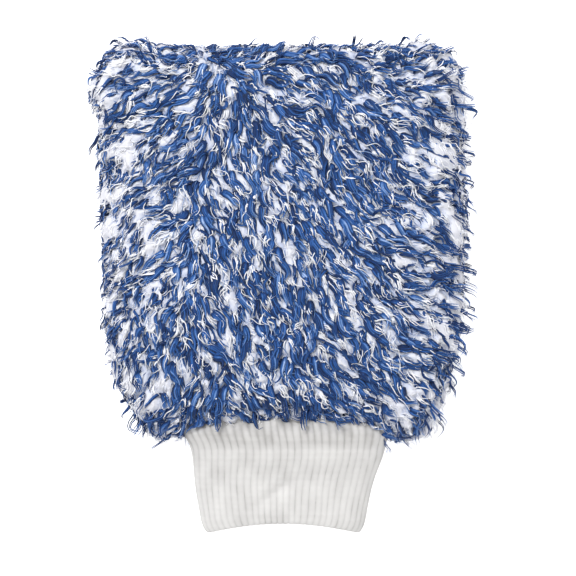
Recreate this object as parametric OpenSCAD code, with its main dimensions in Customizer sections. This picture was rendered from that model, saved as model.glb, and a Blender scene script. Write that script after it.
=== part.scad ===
// Plush wash mitt, lying flat on a table with its finger end towards +Y.
// The origin is on the table, under the centre of the whole mitt. Units are millimetres.
//
// Two plush panels, each a knitted ground cloth with a thick pile, are sewn together round the sides
// and the finger end. A lining bag of two panels hangs inside them. A tube of rib knit, folded double,
// closes on the wrist and bends about the seam that joins it to the bag's mouth.

/* [Whole mitt] */
// Length over everything, from the finger end to the wrist edge of the cuff
mitt_length = 270; // [264:1:280]
// Height of the side seam above the table
seam_height = 25; // [24:1:30]

/* [Plush panels] */
// Width over the pile at the finger end
body_width = 204; // [195:1:215]
// Width over the pile at the mouth end, where its corners begin
mouth_end_width = 196; // [180:1:204]
// Length over the pile, without the cuff
body_length = 218; // [214:1:222]
// Radius of the pile's corners at the finger end
finger_corner = 30; // [28:1:36]
// Radius of the pile's corners at the mouth end
mouth_corner = 45; // [42:1:50]
// Height of the front pile's crown above the side seam
front_height = 30; // [28:1:34]
// Thickness of the pile round the sides and the finger end
pile_side = 14; // [12:1:16]
// Thickness of the pile over the front
pile_front = 15; // [13:1:16]
// Thickness of the pile under the rear, which carries the mitt's weight
pile_rear = 12; // [11:1:13]

/* [Cloth] */
// Thickness of the knitted ground cloth
ground_cloth = 1.2; // [1:0.1:1.6]
// Thickness of the lining cloth
lining_cloth = 0.8; // [0.6:0.1:1]
// Width of the seam allowance that is turned in
seam_allowance = 5; // [4:0.5:6]

/* [Cuff] */
// Flat width of the cuff at the wrist edge
wrist_width = 86; // [80:1:92]
// Flat width of the cuff where it is sewn on
join_width = 110; // [104:1:112]
// Height of the cuff where it is sewn on
join_height = 20; // [18:1:20]
// Height of the cuff at the wrist edge, where it gapes
wrist_height = 26; // [22:1:28]
// Thickness of one ply of rib knit
rib_ply = 1.1; // [1:0.1:1.2]
// Gap between the two plies
ply_gap = 0.5; // [0.5:0.1:0.6]

/* [Thread] */
// Diameter of the sewing thread
thread_size = 0.5; // [0.4:0.1:0.6]
// Length from one stitch to the next
stitch_pitch = 4.5; // [4:0.5:7]

/* [Hidden] */

finger_end = mitt_length / 2;                    // Y of the pile's far end
wrist_edge = -mitt_length / 2;                   // Y of the cuff's folded edge
pile_mouth_end = finger_end - body_length;       // Y of the pile's near end, beside the cuff
mouth_step = 7;                                  // the cloth stops this far inside the pile's near end
cloth_mouth_end = pile_mouth_end + mouth_step;   // Y of the ground cloth's near end
hinge_step = 4;                                  // and the bend line is this far inside it
hinge_y = pile_mouth_end + hinge_step;           // the cuff bends about a line across the mouth here
rear_height = seam_height;                       // the rear pile reaches down to the table
layer_gap = 0.2;                                 // clearance between layers that lie on each other

// Each outline is [half width at the finger end, half width at the mouth end, Y of the finger end,
// Y of the mouth end, finger corner radius, mouth corner radius].
pile_outline = [body_width / 2, mouth_end_width / 2, finger_end, pile_mouth_end, finger_corner, mouth_corner];
ground_outline = [
    body_width / 2 - pile_side, mouth_end_width / 2 - pile_side, finger_end - pile_side, cloth_mouth_end,
    finger_corner - pile_side / 2, mouth_corner - pile_side
];
lining_inset = ground_cloth + seam_allowance + layer_gap;
lining_outline = [
    ground_outline[0] - lining_inset, ground_outline[1] - lining_inset, ground_outline[2] - lining_inset,
    ground_outline[3] + lining_inset, ground_outline[4] - lining_inset, ground_outline[5] - lining_inset
];

pile_edge = 0.8 * finger_corner;                 // how far in from the outline the pile's edge is rounded
cloth_edge = 0.57 * ground_outline[4];           // the same for the ground cloth
lining_edge = 0.65 * lining_outline[4];          // the same for the lining
front_crown = 2;                                 // rise of the middle of the front over its rounded edge
ground_front = front_height - pile_front;        // height of the ground cloth over the side seam
ground_rear = rear_height - pile_rear;
lining_front = ground_front - ground_cloth - layer_gap;
lining_rear = ground_rear - ground_cloth - layer_gap;

corner_points = 9;                               // points on each corner of an outline
edge_rings = 6;                                  // rings up a rounded edge
crown_rings = [0.7, 0.35];                       // shares of the top ring's size, for the rings inside it

mouth_side_gap = 1.5;                            // clearance of the cuff in the opening, at each side
mouth_flat_gap = 0.6;                            // and above and below
mouth_half_w = join_width / 2 + mouth_side_gap;  // the opening cut through the bag's near end
mouth_half_h = join_height / 2 + mouth_flat_gap;
mouth_depth = 22;                                // how far the opening reaches into the bag
mouth_lead = 5;                                  // and how far it starts outside the pile
hem_rise = 10;                                   // the pile's hem arches up this far over the cuff
hem_gap = 2;                                     // the arch springs this far outside the opening
hem_half_w = mouth_half_w + hem_gap;
hem_radius = (hem_half_w * hem_half_w + hem_rise * hem_rise) / (2 * hem_rise);

cuff_points = 48;                                // points round one ring of the cuff
cuff_power = 2.6;                                // how square the cuff's section is: 2 is an ellipse
table_gap = 0.3;                                 // the cuff's wrist edge stays this far above the table
cuff_drop = seam_height - wrist_height / 2 - table_gap; // how far the cuff sags from the mouth
cuff_length = hinge_y - wrist_edge;              // from the bend line to the wrist edge
drop_length = 0.6 * cuff_length;                 // the sag takes this much of it
sewn_length = 5;                                 // the cuff reaches this far into the mouth
knuckle_gap = 0.3;                               // clearance of the sewn end as it turns
knuckle = join_height / 2 + knuckle_gap;         // its sewn end stays within this of the bend line
cuff_wall = 2 * rib_ply + ply_gap;
thread_gap = 0.05;                               // clearance between a thread and the cloth it lies on
shell_wall_gap = 1.5;                            // the shell's stitches run this far in from its wall
lining_wall_gap = 1;                             // and the lining's stitches this far from theirs
seam_clear = 3;                                  // the side seams stop this far from the mouth's sides
seam_end_gap = 12;                               // and only where they are this near the mouth
fold_length = 1.5;                               // the folded wrist edge turns over in this length
cuff_rows = 10;                                  // rings from the bend line to the fold
// Distances of the cuff's rings from the bend line, towards the wrist
cuff_stations = concat(
    [-sewn_length, -sewn_length / 2],
    [for (i = [0:cuff_rows]) i * (cuff_length - fold_length) / cuff_rows]
);

// ---------- general shapes ----------

function lerp(a, b, t) = a + (b - a) * t;
function ease(t) = let (u = min(1, max(0, t))) u * u * (3 - 2 * u);
function centre_of(ring) = [for (k = [0:2]) let (v = [for (p = ring) p[k]]) (min(v) + max(v)) / 2];

// Angle of the normal of an outline's right side: a line that touches both corner circles
function side_angle(o) =
    let (top = [o[0] - o[4], o[2] - o[4]], low = [o[1] - o[5], o[3] + o[5]], span = top - low)
    atan2(span[1], span[0]) - acos((o[5] - o[4]) / norm(span));

function arc(centre, r, from, to) = [
    for (i = [0:corner_points - 1])
        let (a = lerp(from, to, i / (corner_points - 1)))
        [centre[0] + r * cos(a), centre[1] + r * sin(a)]
];

// An outline's points, drawn in by inset all round, anticlockwise from the right side
function outline(o, inset) =
    let (a = side_angle(o), top = o[4] - inset, low = o[5] - inset)
    concat(
        arc([o[0] - o[4], o[2] - o[4]], top, a, 90),
        arc([o[4] - o[0], o[2] - o[4]], top, 90, 180 - a),
        arc([o[5] - o[1], o[3] + o[5]], low, 180 - a, 270),
        arc([o[1] - o[5], o[3] + o[5]], low, 270, 360 + a)
    );

function level(points, z) = [for (p = points) [p[0], p[1], z]];
function shrunk(ring, share, rise) =
    let (c = centre_of(ring))
    [for (p = ring) [lerp(c[0], p[0], share), lerp(c[1], p[1], share), p[2] + rise]];

// Rings of half a cushion over outline o, from its flat base up to its crown
function half_cushion(o, inset, height, edge, crown) =
    let (
        rings = [
            for (i = [0:edge_rings])
                let (t = 90 * i / edge_rings)
                level(outline(o, inset + edge * (1 - cos(t))), (height - crown) * sin(t))
        ],
        top = rings[edge_rings]
    )
    concat(rings, [for (s = crown_rings) if (crown > 0) shrunk(top, s, crown * (1 - s * s))]);

function reversed(list) = [for (i = [len(list) - 1:-1:0]) list[i]];

// A closed solid through rings that all have the same number of points. Its ends are capped,
// or, if looped, its last ring joins its first.
module skin(rings, looped = false) {
    n = len(rings[0]);
    count = len(rings);
    steps = looped ? count : count - 1;
    sides = [
        for (i = [0:steps - 1]) for (j = [0:n - 1])
            let (k = (j + 1) % n, low = i * n, high = ((i + 1) % count) * n)
            each [[low + j, high + j, high + k], [low + j, high + k, low + k]]
    ];
    ends = looped ? [] : [[for (j = [0:n - 1]) j], [for (j = [n - 1:-1:0]) (count - 1) * n + j]];
    polyhedron([for (r = rings) each r], concat(sides, ends));
}

// ---------- plush panels and lining ----------

// A layer between two half cushions that share the level of the side seam
module layer(inner, outer) skin(concat(reversed(inner), outer));

// One panel of cloth: half a cushion with a seam allowance turned in round its base
module cloth_panel(o, height, thickness, allowance, edge, crown) {
    inner = half_cushion(o, thickness, height - thickness, edge, crown);
    lip = thickness + allowance;
    base_rings = [
        level(outline(o, thickness), thickness), level(outline(o, lip), thickness), level(outline(o, lip), 0)
    ];
    walls = [for (i = [1:len(inner) - 1]) inner[i]];
    skin(concat(reversed(walls), base_rings, half_cushion(o, 0, height, edge, crown)));
}

// Puts a panel on the front, or turns it over for the rear
module on_side(front) translate([0, 0, seam_height]) mirror([0, 0, front ? 0 : 1]) children();

// The opening through the near end of the bag, a slot with round ends
module mouth_cut() {
    flat = mouth_half_w - mouth_half_h;
    start = pile_mouth_end - mouth_lead;
    depth = cloth_mouth_end + mouth_depth - start;
    translate([0, start, seam_height]) {
        for (side = [-1, 1])
            translate([side * flat, 0, 0])
                rotate([-90, 0, 0])
                    cylinder(r = mouth_half_h, h = depth, $fn = 64);
        translate([-flat, 0, -mouth_half_h]) cube([2 * flat, depth, 2 * mouth_half_h]);
    }
}

// What is cut off the pile so that its hem arches over the cuff
module hem_cut()
    translate([0, pile_mouth_end + hem_rise - hem_radius, -rear_height])
        cylinder(r = hem_radius, h = 2 * (rear_height + front_height), $fn = 180);

module pile(front) {
    height = front ? front_height : rear_height;
    crown = front ? front_crown : 0;
    ground_height = (front ? ground_front : ground_rear) + layer_gap;
    difference() {
        on_side(front)
            layer(
                half_cushion(ground_outline, -layer_gap, ground_height, cloth_edge, crown),
                half_cushion(pile_outline, 0, height, pile_edge, crown)
            );
        mouth_cut();
        hem_cut();
    }
}

module ground_cloth_panel(front) {
    height = front ? ground_front : ground_rear;
    crown = front ? front_crown : 0;
    allowance = seam_allowance - ground_cloth;
    difference() {
        on_side(front) cloth_panel(ground_outline, height, ground_cloth, allowance, cloth_edge, crown);
        mouth_cut();
    }
}

module lining_panel(front) {
    height = front ? lining_front : lining_rear;
    crown = front ? front_crown : 0;
    allowance = 0.6 * seam_allowance;
    difference() {
        on_side(front) cloth_panel(lining_outline, height, lining_cloth, allowance, lining_edge, crown);
        mouth_cut();
    }
}

module front_pile() color("royalblue") pile(true);
module rear_pile() color("royalblue") pile(false);
module front_ground_cloth() color("aliceblue") ground_cloth_panel(true);
module rear_ground_cloth() color("aliceblue") ground_cloth_panel(false);
module front_lining() color("white") lining_panel(true);
module rear_lining() color("white") lining_panel(false);

// ---------- threads ----------

// One stitch of thread from point a to point b, shortened so that stitches stay separate
module stitch(a, b, size) {
    run = b - a;
    length = norm(run);
    gap = 0.3 * size;
    translate(a)
        rotate([0, acos(run[2] / length), atan2(run[1], run[0])])
            translate([0, 0, gap]) cylinder(d = size, h = length - 2 * gap, $fn = 16);
}

// Length of an open chain of points up to each of its points
function lengths(path, i = 0, sum = 0) =
    i == len(path) - 1 ? [sum] : concat([sum], lengths(path, i + 1, sum + norm(path[i + 1] - path[i])));

// The point at a distance along a chain of points, whose lengths are known
function along(path, sums, at) =
    let (
        i = min(len(path) - 2, max([for (k = [0:len(path) - 1]) sums[k] <= at ? k : 0])),
        part = (at - sums[i]) / (sums[i + 1] - sums[i])
    )
    lerp(path[i], path[i + 1], part);

// Stitches at an even pitch along a chain of points
module seam(path, size) {
    sums = lengths(path);
    total = sums[len(sums) - 1];
    count = floor(total / stitch_pitch);
    for (i = [0:count - 1])
        stitch(along(path, sums, i * total / count), along(path, sums, (i + 1) * total / count), size);
}

// The side seam's line: an outline drawn in by inset, from the right of the mouth round to its left.
// It starts at the last corner, and leaves out the stretch that the mouth takes.
function side_seam(o, inset, z) =
    let (points = level(outline(o, inset), z), n = len(points), start = 3 * corner_points)
    [
        for (i = [0:n - 1])
            let (p = points[(i + start) % n])
            if (p[1] > cloth_mouth_end + seam_end_gap || abs(p[0]) > mouth_half_w + seam_clear) p
    ];

module side_thread(o, cloth, wall_gap, front) {
    above = cloth + thread_size / 2 + thread_gap;
    color("white")
        seam(side_seam(o, cloth + wall_gap, seam_height + (front ? above : -above)), thread_size);
}

module shell_needle_thread() side_thread(ground_outline, ground_cloth, shell_wall_gap, true);
module shell_bobbin_thread() side_thread(ground_outline, ground_cloth, shell_wall_gap, false);
module lining_needle_thread() side_thread(lining_outline, lining_cloth, lining_wall_gap, true);
module lining_bobbin_thread() side_thread(lining_outline, lining_cloth, lining_wall_gap, false);

// Stitches round the mouth that bind the edges of the shell and the lining where the cuff is sewn on
module cuff_join_thread() {
    half_h = mouth_half_h - thread_size / 2 - thread_gap;
    flat = mouth_half_w - mouth_half_h;
    bind = 3.2;                                  // length of each stitch
    start = hinge_y + sewn_length + mouth_flat_gap; // just past the cuff's sewn end
    quarter_turns = 5;                           // stitches to a quarter of the mouth's round ends
    rows = floor(2 * flat / stitch_pitch);
    color("white") {
        for (i = [0:rows]) for (side = [-1, 1])
            translate([lerp(-flat, flat, i / rows), start, seam_height + side * half_h])
                rotate([-90, 0, 0])
                    cylinder(d = thread_size, h = bind, $fn = 16);
        for (i = [1:2 * quarter_turns - 1]) for (side = [-1, 1])
            let (a = 90 - 90 * i / quarter_turns)
            translate([side * (flat + half_h * cos(a)), start, seam_height + half_h * sin(a)])
                rotate([-90, 0, 0])
                    cylinder(d = thread_size, h = bind, $fn = 16);
    }
}

// ---------- cuff ----------

// Half width, half height and height of the centre of the cuff at a distance s past the bend line
function cuff_half_w(s) = lerp(join_width, wrist_width, pow(min(1, max(0, s / cuff_length)), 0.8)) / 2;
function cuff_half_h(s) =
    s < 0 ? sqrt(knuckle * knuckle - s * s) - knuckle_gap
    : lerp(join_height, wrist_height, ease(s / drop_length)) / 2;
function cuff_centre_z(s) = seam_height - cuff_drop * ease(s / drop_length);

// A ring of the cuff, inset from its outer surface
function cuff_ring(s, inset) =
    let (w = cuff_half_w(s) - inset, h = cuff_half_h(s) - inset, z = cuff_centre_z(s))
    [
        for (j = [0:cuff_points - 1])
            let (a = 360 * j / cuff_points, c = cos(a), v = sin(a), e = 2 / cuff_power)
            [w * sign(c) * pow(abs(c), e), hinge_y - s, z + h * sign(v) * pow(abs(v), e)]
    ];

// The folded edge's three rings: shares of the wall's thickness, and how far each is past the last station
fold_inset = [0.15, 0.5, 0.85];
fold_reach = [1, 1.5, 1];

module rib_cuff() {
    last = cuff_stations[len(cuff_stations) - 1];
    outer = [for (s = cuff_stations) cuff_ring(s, 0)];
    fold = [for (i = [0:2]) cuff_ring(last + fold_reach[i], fold_inset[i] * cuff_wall)];
    inner = reversed([for (s = cuff_stations) cuff_ring(s, cuff_wall)]);
    gap_inner = [for (s = cuff_stations) cuff_ring(s, rib_ply + ply_gap)];
    gap_outer = reversed([for (s = cuff_stations) cuff_ring(s, rib_ply)]);
    color("whitesmoke") skin(concat(outer, fold, inner, gap_inner, gap_outer), true);
}

// The stitches that close the rib knit into a tube, between the plies at the left side
module cuff_closing_thread() {
    middle = rib_ply + ply_gap / 2;
    size = ply_gap - layer_gap;
    path = [
        for (s = cuff_stations)
            if (s > 0 && s < cuff_length - 2 * fold_length)
                [-(cuff_half_w(s) - middle), hinge_y - s, cuff_centre_z(s)]
    ];
    color("white")
        for (i = [0:len(path) - 2])
            stitch(path[i], path[i + 1], size);
}

front_pile();
rear_pile();
front_ground_cloth();
rear_ground_cloth();
front_lining();
rear_lining();
shell_needle_thread();
shell_bobbin_thread();
lining_needle_thread();
lining_bobbin_thread();
cuff_join_thread();
rib_cuff();
cuff_closing_thread();
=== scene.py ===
"""The looks of a plush wash mitt with a rib-knit cuff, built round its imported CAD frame.

Lengths are in metres. The mitt lies flat, front up, with its finger end towards +Y and its cuff towards -Y.
The pile is made of closed, tapering yarns that lie over a soft body: broad blue tufts with loose fibres,
white tufts and fibres between them, thin blue yarns, stray tips round the edge, and white streaks and curls
on top.
"""

import math

import bmesh
import bpy
import numpy as np
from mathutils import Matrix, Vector
from mathutils.bvhtree import BVHTree
from mathutils.kdtree import KDTree


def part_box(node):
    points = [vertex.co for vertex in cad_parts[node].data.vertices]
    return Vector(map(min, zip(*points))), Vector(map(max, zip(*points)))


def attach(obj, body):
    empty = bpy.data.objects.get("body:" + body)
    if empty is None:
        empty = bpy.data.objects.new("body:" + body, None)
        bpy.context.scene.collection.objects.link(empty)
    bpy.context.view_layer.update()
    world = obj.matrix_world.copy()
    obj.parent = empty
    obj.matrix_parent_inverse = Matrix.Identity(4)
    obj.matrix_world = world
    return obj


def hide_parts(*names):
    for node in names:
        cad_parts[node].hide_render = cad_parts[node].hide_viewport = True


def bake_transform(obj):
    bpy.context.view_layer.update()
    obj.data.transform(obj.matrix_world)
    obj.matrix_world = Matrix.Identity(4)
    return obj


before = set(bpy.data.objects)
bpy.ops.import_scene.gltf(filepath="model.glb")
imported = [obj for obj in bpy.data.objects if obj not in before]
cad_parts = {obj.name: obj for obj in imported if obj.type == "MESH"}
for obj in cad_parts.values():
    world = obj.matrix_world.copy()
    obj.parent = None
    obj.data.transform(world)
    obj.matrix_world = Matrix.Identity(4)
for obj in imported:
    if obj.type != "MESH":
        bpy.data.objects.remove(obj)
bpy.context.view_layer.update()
MM = 0.001

# ---------- sizes, from the frame ----------

PILE_LOW, PILE_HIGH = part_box("front_pile")
CUFF_LOW, CUFF_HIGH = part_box("rib_cuff")
LINING_LOW, LINING_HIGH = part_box("front_lining")
REAR_LINING_LOW, REAR_LINING_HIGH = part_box("rear_lining")
HALF_W = PILE_HIGH.x
FINGER_Y = PILE_HIGH.y
HEM_Y = PILE_LOW.y
SEAM_Z = PILE_LOW.z
MIDDLE_Y = (FINGER_Y + HEM_Y) / 2
HALF_L = (FINGER_Y - HEM_Y) / 2

# ---------- sizes of the looks ----------

YARN_DEPTH = 6.0 * MM  # the soft body stands this far inside the pile's outer surface
CORNER_FULLNESS = 5.0 * MM  # the pile stands out this far more at its four corners
CORNER_DROP = 9.0 * MM  # the two corners beside the cuff sag this far down, which squares them
HEM_LIFT = 3.0 * MM  # the hem arches up this far over the middle of the cuff
SWELL_MOST = 3.0 * MM  # the cloth simulation moves no point of the body further than this
SWELL_PRESSURE, SWELL_FRAMES = 4.0, 20
VOXEL = 4.5 * MM  # spacing of the soft body's first mesh
PUFF_RISE = 3.8 * MM  # the body puffs up this far between tufts
FLOOR_GAP = 0.25 * MM  # nothing lies closer to the table than this
SEED = 20


# ---------- helpers: numbers ----------


def unit(v):
    return v / np.maximum(np.linalg.norm(v, axis=-1, keepdims=True), 1e-12)


def ease(t):
    t = np.clip(t, 0, 1)
    return t * t * (3 - 2 * t)


def hill(t, middle, width):
    """1 at the middle, falling off to each side over about the width."""
    return np.exp(-(((t - middle) / width) ** 2))


def lattice_noise(points, cell, seed):
    """Smooth noise from -1 to 1 at points, with features about one cell across."""
    table = np.random.default_rng(seed).uniform(-1, 1, 4096)
    scaled = np.asarray(points, float) / cell
    corner = np.floor(scaled).astype(np.int64)
    part = ease(scaled - corner)
    total = np.zeros(len(scaled))
    for step in np.ndindex(2, 2, 2):
        index = ((corner + step) @ np.array([73856093, 19349663, 83492791])) % 4096
        total += table[index] * np.prod(np.where(step, part, 1 - part), axis=1)
    return total


def turned(vectors, axes, angles):
    """Vectors that stand square to unit axes, turned about them."""
    return vectors * np.cos(angles)[:, None] + np.cross(axes, vectors) * np.sin(angles)[:, None]


# ---------- helpers: meshes ----------


def coordinates(mesh, what="co"):
    flat = np.empty(len(mesh.vertices) * 3, np.float32)
    mesh.vertices.foreach_get(what, flat)
    return flat.reshape(-1, 3).astype(float)


def points_of(mesh):
    """A mesh's points and the normals there."""
    return coordinates(mesh), coordinates(mesh, "normal")


def smooth_shaded(mesh):
    mesh.polygons.foreach_set("use_smooth", np.full(len(mesh.polygons), True))


def move_points(mesh, points):
    mesh.vertices.foreach_set("co", np.asarray(points, np.float32).ravel())
    mesh.update()


def object_of(name, mesh):
    piece = bpy.data.objects.new(name, mesh)
    bpy.context.scene.collection.objects.link(piece)
    return piece


def mesh_of(name, points, face_groups):
    """A mesh from points and arrays of faces, each array holding faces of one size."""
    loops = np.concatenate([faces.ravel() for faces in face_groups])
    sizes = np.concatenate([np.full(len(faces), faces.shape[1]) for faces in face_groups])
    mesh = bpy.data.meshes.new(name)
    mesh.vertices.add(len(points))
    mesh.vertices.foreach_set("co", np.asarray(points, np.float32).ravel())
    mesh.loops.add(len(loops))
    mesh.loops.foreach_set("vertex_index", loops.astype(np.int32))
    mesh.polygons.add(len(sizes))
    mesh.polygons.foreach_set("loop_start", (np.cumsum(sizes) - sizes).astype(np.int32))
    mesh.update(calc_edges=True)
    smooth_shaded(mesh)
    return mesh


def set_shade(mesh, name, values):
    """Stores one number for each point, which the materials read."""
    layer = mesh.attributes.new(name, "FLOAT", "POINT")
    layer.data.foreach_set("value", np.asarray(values, np.float32))


def baked(piece):
    """Replaces a piece's mesh by what its modifiers make of it."""
    graph = bpy.context.evaluated_depsgraph_get()
    mesh = bpy.data.meshes.new_from_object(piece.evaluated_get(graph))
    piece.modifiers.clear()
    piece.data = mesh
    return mesh


def grid_faces(rows, columns, wrap):
    """Quads over a grid of points stored row by row. With wrap, the last column joins the first."""
    r, c = np.meshgrid(np.arange(rows - 1), np.arange(columns if wrap else columns - 1), indexing="ij")
    low, high, after = r * columns, (r + 1) * columns, (c + 1) % columns
    return np.stack([low + c, low + after, high + after, high + c], axis=-1).reshape(-1, 4)


# ---------- materials ----------


def fill(tree, node, inputs):
    """Sets a shader node's inputs to values, or joins them to other nodes' outputs."""
    for name, value in inputs.items():
        if isinstance(value, bpy.types.NodeSocket):
            tree.links.new(value, node.inputs[name])
        else:
            node.inputs[name].default_value = value


def add(tree, kind, inputs, **settings):
    """Adds a shader node and gives its outputs."""
    node = tree.nodes.new("ShaderNode" + kind)
    for name, value in settings.items():
        setattr(node, name, value)
    fill(tree, node, inputs)
    return node.outputs


def fabric(name, rough, sheen, tint):
    """A matt cloth shader, its node tree and its Principled node."""
    mat = bpy.data.materials.new(name)
    mat.use_nodes = True
    tree = mat.node_tree
    shader = tree.nodes["Principled BSDF"]
    fill(tree, shader, {"Roughness": rough, "Specular IOR Level": 0.25})
    fill(tree, shader, {"Sheen Weight": sheen, "Sheen Roughness": 0.5, "Sheen Tint": (*tint, 1)})
    return mat, tree, shader


def ramp_of(tree, value, stops):
    """The colour that a ramp with (position, colour) stops gives for a value."""
    ramp = tree.nodes.new("ShaderNodeValToRGB")
    points = ramp.color_ramp.elements
    while len(points) < len(stops):
        points.new(0.5)
    for point, (place, colour) in zip(points, stops):
        point.position = place
        point.color = (*colour, 1)
    tree.links.new(value, ramp.inputs["Fac"])
    return ramp.outputs["Color"]


def colour_by(tree, shader, value, stops):
    fill(tree, shader, {"Base Color": ramp_of(tree, value, stops)})


def place_in_frame(tree):
    return add(tree, "TexCoord", {})["Object"]


def noise_of(tree, scale, detail, stretch=(1, 1, 1)):
    """Noise in the frame's own coordinates, with features about 1 / scale metres across."""
    place = add(tree, "Mapping", {"Vector": place_in_frame(tree), "Scale": stretch})["Vector"]
    return add(tree, "TexNoise", {"Vector": place, "Scale": scale, "Detail": detail})["Fac"]


def shade_of(tree, name):
    """The numbers that set_shade stored under a name."""
    return add(tree, "Attribute", {}, attribute_name=name)["Fac"]


def plus_noise(tree, value, noise, amount):
    """value + amount * (noise - 0.5), clamped to 0..1."""
    scaled = add(tree, "Math", {0: noise, 1: amount, 2: -0.5 * amount}, operation="MULTIPLY_ADD")[0]
    return add(tree, "Math", {0: value, 1: scaled}, operation="ADD", use_clamp=True)[0]


def bump_into(tree, shader, height, strength, distance):
    bump = add(tree, "Bump", {"Height": height, "Strength": strength, "Distance": distance})
    fill(tree, shader, {"Normal": bump["Normal"]})


def yarn_material(name, stops, rough, sheen, tint):
    """Dyed yarn: each has its own shade, with streaks of dye; it is darker at the root and at its sides,
    which is painted shade, and paler at the tip.
    """
    mat, tree, shader = fabric(name, rough, sheen, tint)
    colour_by(tree, shader, plus_noise(tree, shade_of(tree, "tone"), noise_of(tree, 900.0, 2.0), 0.22), stops)
    return mat


# Colours of each yarn and of the fluff, from its darkest shade to its palest
BLUE_STOPS = [
    (0.0, (0.004, 0.013, 0.05)),
    (0.3, (0.006, 0.031, 0.13)),
    (0.6, (0.022, 0.10, 0.335)),
    (0.82, (0.155, 0.28, 0.56)),
    (1.0, (0.42, 0.52, 0.74)),
]
WHITE_STOPS = [
    (0.0, (0.47, 0.52, 0.68)),
    (0.4, (0.76, 0.785, 0.875)),
    (0.75, (0.88, 0.885, 0.925)),
    (1.0, (0.97, 0.965, 0.975)),
]
# the fluff's darkest stop is partly blue and partly painted shadow, for the hollows beside and under the blue
# tufts
FLUFF_STOPS = [
    (0.0, (0.05, 0.10, 0.26)),
    (0.3, (0.575, 0.62, 0.76)),
    (0.6, (0.72, 0.735, 0.81)),
    (1.0, (0.665, 0.66, 0.695)),
]


def blue_yarn():
    return yarn_material("blue_yarn", BLUE_STOPS, 0.62, 0.12, (0.45, 0.62, 1.0))


def white_yarn():
    return yarn_material("white_yarn", WHITE_STOPS, 0.8, 0.15, (0.95, 0.96, 1.0))


def fluff_material():
    """The matted white pile under the loose yarns: dark navy beside and under the blue tufts, partly blue
    showing through and partly painted shadow in the hollows there, and white where it puffs up.
    """
    mat, tree, shader = fabric("white_fluff", 0.92, 0.06, (0.95, 0.96, 1.0))
    fibres = noise_of(tree, 650.0, 4.0, (1, 0.35, 1))
    # the puff shade holds painted shadow in the hollows by the tufts; the fibre noise is the pile's own
    # texture
    colour_by(tree, shader, plus_noise(tree, shade_of(tree, "puff"), fibres, 0.5), FLUFF_STOPS)
    bump_into(tree, shader, fibres, 0.5, 0.8 * MM)
    return mat


def knit_material(name, shades, course, attribute=None):
    """Knitted cloth: rows of loops, a mottled colour, and, where attribute is given, the painted shade that
    it stores, darker in the grooves between the ribs and under the hem.
    """
    mat, tree, shader = fabric(name, 0.88, 0.15, (1, 1, 1))
    # the attribute holds painted shade and the knit's own mottle
    source = shade_of(tree, attribute) if attribute else noise_of(tree, 60.0, 2.0)
    colour_by(tree, shader, plus_noise(tree, source, noise_of(tree, 260.0, 4.0), 0.35), shades)
    inputs = {"Scale": 1 / (20 * course) * math.tau / math.pi, "Distortion": 1.2, "Detail Scale": 2.0}
    loops = add(tree, "TexWave", {"Vector": place_in_frame(tree), **inputs}, bands_direction="Y")["Fac"]
    bump_into(tree, shader, loops, 0.25, 0.3 * MM)
    return mat


def thread_material():
    """Spun polyester thread, with the twist as fine slanting bands of painted shade, darker in the grooves
    between its plies.
    """
    mat, tree, shader = fabric("sewing_thread", 0.6, 0.1, (1, 1, 1))
    inputs = {"Vector": place_in_frame(tree), "Scale": 700.0}
    twist = add(tree, "TexWave", inputs, bands_direction="DIAGONAL")["Fac"]
    # painted shade: the slanting bands lighten and darken the thread along its twist
    colour_by(tree, shader, twist, [(0.0, (0.62, 0.62, 0.63)), (1.0, (0.88, 0.88, 0.87))])
    return mat


def floor_material():
    """The lit white top of a light table, with a faint mottle."""
    mat, tree, shader = fabric("studio_floor", 0.95, 0.0, (1, 1, 1))
    colour_by(tree, shader, noise_of(tree, 3.0, 2.0), [(0.0, (0.88, 0.88, 0.88)), (1.0, (0.90, 0.90, 0.90))])
    fill(tree, shader, {"Emission Color": (1, 1, 1, 1), "Emission Strength": 0.7})
    return mat


# ---------- the soft body under the yarns ----------


def outwardness(points, directions):
    """1 where a surface of the piles faces out of the mitt, 0 where it faces the pocket."""
    low = np.array([-0.55 * HALF_W, HEM_Y + 0.35 * HALF_L, SEAM_Z])
    high = np.array([0.55 * HALF_W, FINGER_Y - 0.4 * HALF_L, SEAM_Z])
    away = unit(points - np.clip(points, low, high))
    return ease((np.sum(away * directions, axis=1) - 0.05) / 0.35)


def swell(piece, outward):
    """Swells the body by cloth simulation, held at the side seam, and caps how far each point may move."""
    start = coordinates(piece.data)
    seam = piece.vertex_groups.new(name="seam")
    held = np.nonzero((np.abs(start[:, 2] - SEAM_Z) < 0.6 * VOXEL) | (outward < 0.3))[0]
    seam.add([int(i) for i in held], 1.0, "REPLACE")
    cloth = piece.modifiers.new("swell", "CLOTH")
    cloth.settings.vertex_group_mass = seam.name
    cloth.settings.use_pressure = True
    cloth.settings.uniform_pressure_force = SWELL_PRESSURE
    cloth.settings.effector_weights.gravity = 0
    cloth.point_cache.frame_start, cloth.point_cache.frame_end = 1, SWELL_FRAMES
    for step in range(1, SWELL_FRAMES + 1):
        bpy.context.scene.frame_set(step)
    graph = bpy.context.evaluated_depsgraph_get()
    moved = coordinates(piece.evaluated_get(graph).data) - start
    piece.modifiers.clear()
    piece.vertex_groups.clear()
    far = np.linalg.norm(moved, axis=1, keepdims=True)
    moved *= np.minimum(1, SWELL_MOST / np.maximum(far, 1e-9)) * outward[:, None]
    move_points(piece.data, start + moved)
    bpy.context.scene.frame_set(1)


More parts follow.
